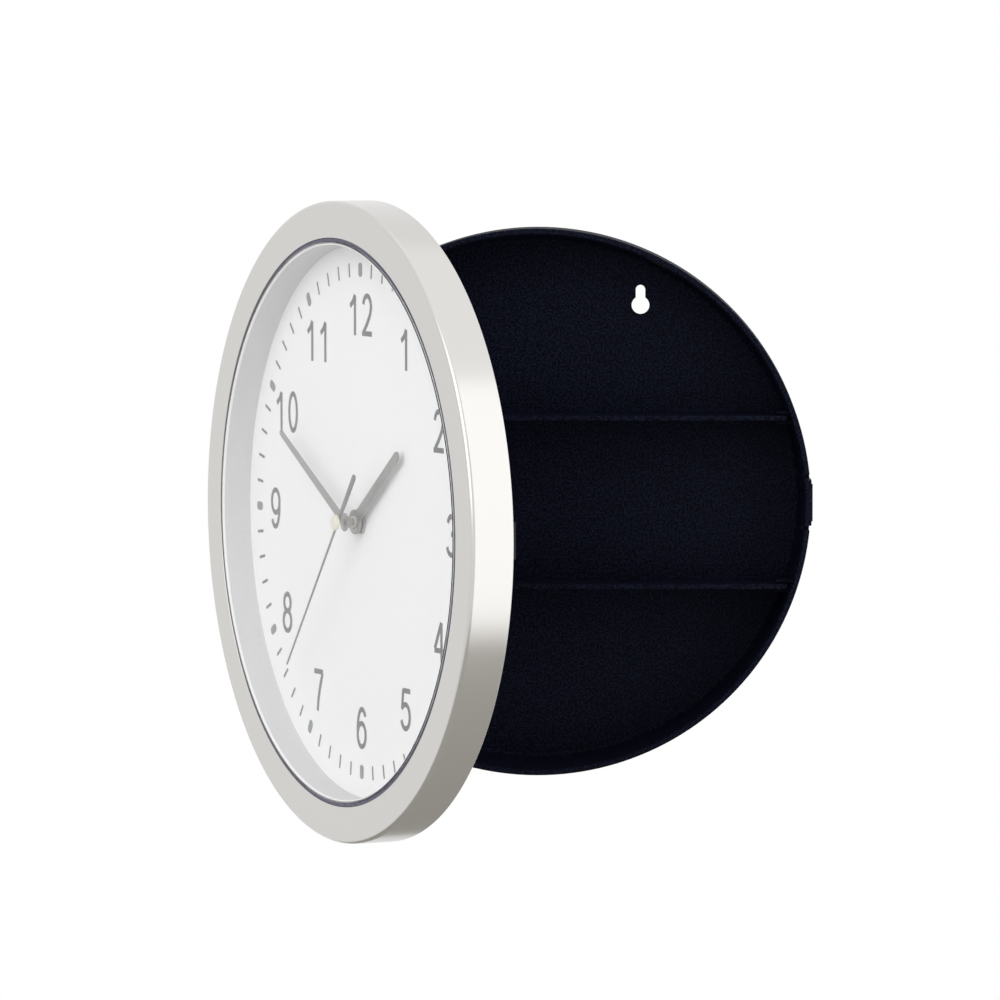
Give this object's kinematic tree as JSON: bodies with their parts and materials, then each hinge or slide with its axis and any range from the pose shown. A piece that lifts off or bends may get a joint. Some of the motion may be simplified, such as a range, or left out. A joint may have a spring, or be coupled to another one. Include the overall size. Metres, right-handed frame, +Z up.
{
  "type": "clock diversion safe",
  "caption": "Round wall clock whose whole face swings open as the door of a shallow wall box with shelves.",
  "frame": {"origin": "centre of the box's flat back face, which lies on the wall", "axes": "+X to the right and +Z up as seen from the room, +Y into the wall; the clock hinges on the -X side"},
  "size_m": [0.2459, 0.2497, 0.25],
  "materials": {
    "black_abs": "fine-grained black ABS",
    "black_trim": "satin black ABS",
    "silver_paint": "satin silver paint on ABS",
    "clear_acrylic": "clear acrylic",
    "white_abs": "satin white ABS",
    "dial_sheet": "white printed styrene",
    "hand_aluminium": "grey lacquer",
    "cream_cap": "moulded, satin",
    "steel": "zinc plated",
    "brass": "turned",
    "black_rubber": "moulded",
    "natural_nylon": "natural acetal",
    "copper_wire": "enamelled copper wire",
    "ferrite": "pressed ferrite",
    "circuit_laminate": "green circuit laminate",
    "cell_wrap": "plain wrapped steel can"
  },
  "bodies": {
    "box": {"box_shell": "black_abs", "upper_shelf": "black_abs", "lower_shelf": "black_abs", "hinge_pin": "steel"},
    "door": {"clock_ring": "silver_paint", "lens": "clear_acrylic", "reflector_ring": "white_abs", "dial_plate": "dial_sheet", "back_cover": "black_trim", "cover_screw_1": "steel", "cover_screw_2": "steel", "cover_screw_3": "steel", "cover_screw_4": "steel", "movement_housing": "black_trim", "movement_lid": "black_trim", "rubber_washer": "black_rubber", "shaft_nut": "brass", "battery": "cell_wrap", "battery_contact_positive": "steel", "battery_contact_negative": "steel", "stator": "steel", "coil": "copper_wire", "circuit_board": "circuit_laminate"},
    "rotor_train": {"rotor": "natural_nylon", "rotor_magnet": "ferrite"},
    "step_train": {"step_wheel": "natural_nylon"},
    "seconds_train": {"seconds_wheel": "natural_nylon", "second_hand": "hand_aluminium", "second_hand_cap": "cream_cap"},
    "third_train": {"third_wheel": "natural_nylon"},
    "minute_train": {"minute_wheel": "brass", "minute_hand": "hand_aluminium"},
    "motion_train": {"motion_wheel": "natural_nylon", "setting_knob": "natural_nylon"},
    "hour_train": {"hour_wheel": "natural_nylon", "hour_hand": "hand_aluminium"}
  },
  "joints": [
    {"name": "door_hinge", "type": "hinge", "parent": "box", "child": "door", "pos_m": [-0.1133, -0.0305, 0], "axis": [0, 0, -1], "range_deg": [-62.6, 32.4]},
    {"name": "seconds_spin", "type": "hinge", "parent": "door", "child": "seconds_train", "pos_m": [-0.06151, -0.13127, 0], "axis": [0.8878, 0.4602, 0], "continuous": true},
    {"name": "rotor_spin", "type": "hinge", "parent": "door", "child": "rotor_train", "pos_m": [-0.05326, -0.1472, 0.00199], "axis": [0.8878, 0.4602, 0], "continuous": true},
    {"name": "step_spin", "type": "hinge", "parent": "door", "child": "step_train", "pos_m": [-0.05689, -0.14019, -0.00088], "axis": [0.8878, 0.4602, 0], "continuous": true},
    {"name": "third_spin", "type": "hinge", "parent": "door", "child": "third_train", "pos_m": [-0.05919, -0.13575, 0.00873], "axis": [0.8878, 0.4602, 0], "continuous": true},
    {"name": "minute_spin", "type": "hinge", "parent": "door", "child": "minute_train", "pos_m": [-0.06151, -0.13127, 0], "axis": [0.8878, 0.4602, 0], "continuous": true},
    {"name": "motion_spin", "type": "hinge", "parent": "door", "child": "motion_train", "pos_m": [-0.0663, -0.12204, 0], "axis": [0.8878, 0.4602, 0], "continuous": true},
    {"name": "hour_spin", "type": "hinge", "parent": "door", "child": "hour_train", "pos_m": [-0.06151, -0.13127, 0], "axis": [0.8878, 0.4602, 0], "continuous": true}
  ],
  "couplings": [
    {"joint": "rotor_spin", "follows": "seconds_spin", "ratio": 30},
    {"joint": "step_spin", "follows": "seconds_spin", "ratio": -5},
    {"joint": "third_spin", "follows": "seconds_spin", "ratio": -0.13333},
    {"joint": "minute_spin", "follows": "seconds_spin", "ratio": 0.016667},
    {"joint": "motion_spin", "follows": "seconds_spin", "ratio": -0.0055556},
    {"joint": "hour_spin", "follows": "seconds_spin", "ratio": 0.0013889}
  ]
}
